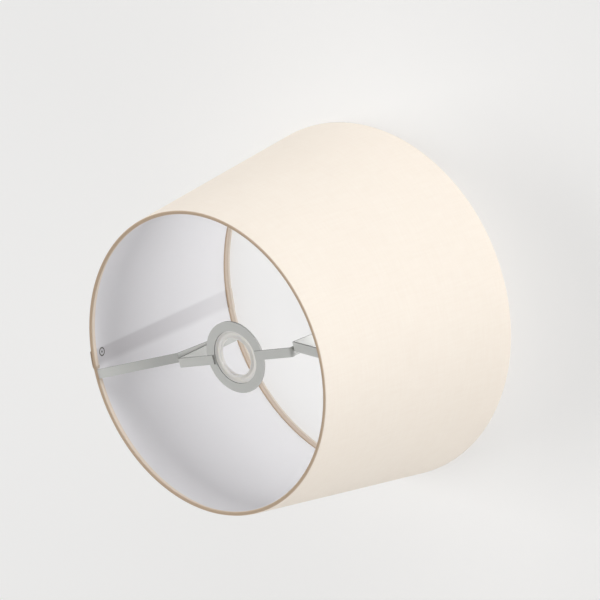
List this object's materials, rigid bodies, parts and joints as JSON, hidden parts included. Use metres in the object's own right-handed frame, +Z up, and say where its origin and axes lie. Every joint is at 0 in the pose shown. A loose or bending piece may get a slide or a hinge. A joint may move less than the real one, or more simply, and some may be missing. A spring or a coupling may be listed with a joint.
{
  "type": "lamp shade",
  "caption": "Tapered drum lamp shade of cream fabric on white lining, with a reversible gimbal fitter and a reducer ring.",
  "frame": {"origin": "centre of the bottom rim, on the surface that the shade stands on", "axes": "+Z up along the shade's axis, towards the narrow rim with the fitter; X along the two struts and the gimbal's pivot; the seam is beside the strut on -X"},
  "size_m": [0.28, 0.28, 0.186],
  "materials": {
    "cover_fabric": "fine plain-woven cream cotton blend, matt",
    "lining": "white self-extinguishing lining sheet, satin",
    "tape": "clear double-sided tape, hidden",
    "rim_wire": "drawn steel wire, hidden in the hems",
    "fitter_steel": "light grey powder coat on steel strip, satin",
    "rivet": "zinc-plated steel, domed heads",
    "reducer_plastic": "moulded white plastic, satin"
  },
  "bodies": {
    "shade": {"fabric_cover": "cover_fabric", "liner": "lining", "seam_tape": "tape", "top_ring": "rim_wire", "bottom_ring": "rim_wire", "top_ring_tape": "tape", "bottom_ring_tape": "tape", "strut_left": "fitter_steel", "strut_right": "fitter_steel", "rivet_left": "rivet", "rivet_right": "rivet"},
    "fitter": {"fitter_ring": "fitter_steel", "fitter_arm_left": "fitter_steel", "fitter_arm_right": "fitter_steel"},
    "reducer": {"reducer_ring": "reducer_plastic"}
  },
  "joints": [
    {"name": "gimbal_swing", "type": "hinge", "parent": "shade", "child": "fitter", "pos_m": [0, 0, 0.085], "axis": [1, 0, 0], "continuous": true},
    {"name": "reducer_pull", "type": "slide", "parent": "fitter", "child": "reducer", "axis": [0, 0.0541, -0.9985], "range_m": [0, 0.015]}
  ]
}
